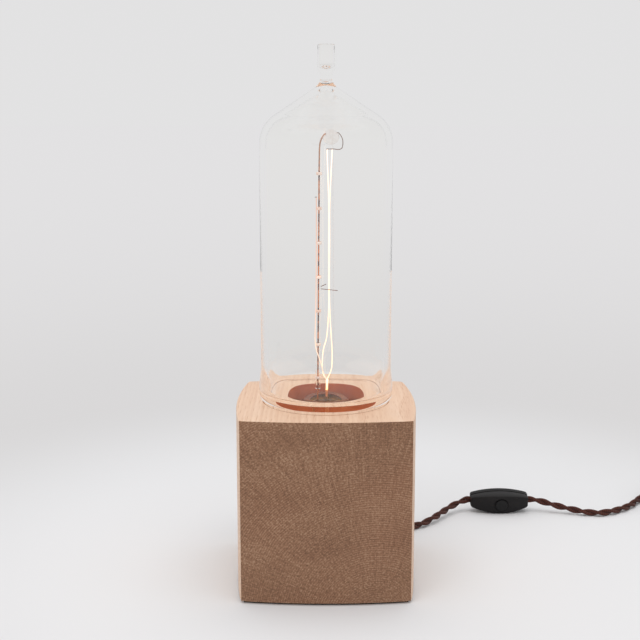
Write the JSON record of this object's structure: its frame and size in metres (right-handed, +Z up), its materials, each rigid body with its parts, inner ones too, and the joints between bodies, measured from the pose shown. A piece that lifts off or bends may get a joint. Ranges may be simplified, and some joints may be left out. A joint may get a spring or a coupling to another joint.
{
  "type": "glass table lamp",
  "caption": "Oak block table lamp with a tall clear bottle-shaped filament bulb, a twisted textile cord, an in-line push-button switch and a plug.",
  "frame": {"origin": "middle of the block's footprint, on the table under the pad", "axes": "+Z up along the bulb, -Y out of the front end-grain face, +X to the side where the cord lies"},
  "size_m": [0.5083, 0.3062, 0.45],
  "materials": {
    "black_plastic": "moulded, satin",
    "brass": "bright",
    "cement": "cement",
    "clear_glass": "clear, polished",
    "collar_glass": "pale",
    "copper": "oxidised copper",
    "core": "insulated core",
    "dark_cover": "moulded, matt",
    "filament": "carbon, glowing",
    "oak": "oiled oak, end grain on the front and back",
    "pad": "dark felt",
    "porcelain": "glazed",
    "spring_steel": "bare",
    "steel": "zinc plated",
    "textile": "brown textile over two twisted cores"
  },
  "bodies": {
    "base": {"wood_block": "oak", "base_pad": "pad", "cavity_cover": "dark_cover", "cover_screws": "steel", "cord_bush": "black_plastic", "cord_inner": "textile", "cord_grip": "black_plastic", "grip_bar": "black_plastic", "grip_screws": "steel", "nipple": "steel", "nipple_washer": "steel", "nipple_nut": "steel", "holder_base": "black_plastic", "holder_skirt": "black_plastic", "holder_insert": "porcelain", "holder_sleeve": "brass", "centre_spring": "brass", "side_contact": "brass", "terminal_screws": "steel", "holder_wires": "core", "cord_lead": "textile", "cord_tail": "textile", "cord_coil": "textile", "coil_tie": "black_plastic", "switch_front": "black_plastic", "switch_rear": "black_plastic", "button_spring": "spring_steel", "switch_contacts": "brass", "switch_wires": "core", "switch_screws": "steel", "plug_body": "black_plastic", "plug_pins": "steel"},
    "bulb": {"glass_envelope": "clear_glass", "cap_shell": "brass", "cap_cement": "cement", "cap_insulator": "black_plastic", "cap_contact": "steel", "cap_wires": "copper", "support_rod": "copper", "rod_sleeve": "clear_glass", "rod_collars": "collar_glass", "top_bead": "clear_glass", "top_hook": "copper", "mid_hooks": "copper", "filament_left": "filament", "filament_right": "filament", "filament_outer": "filament", "lower_lead": "filament", "lower_joint": "filament"},
    "button": {"switch_button": "black_plastic"}
  },
  "joints": [
    {"name": "bulb_lift", "type": "slide", "parent": "base", "child": "bulb", "axis": [0, 0, 1], "range_m": [0, 0.045]},
    {"name": "button_press", "type": "slide", "parent": "base", "child": "button", "axis": [0, 0.9781, 0.2079], "range_m": [0, 0.0025], "stiffness_N_per_m": 600, "springref_m": -0.001, "deforming": ["button_spring"]}
  ]
}
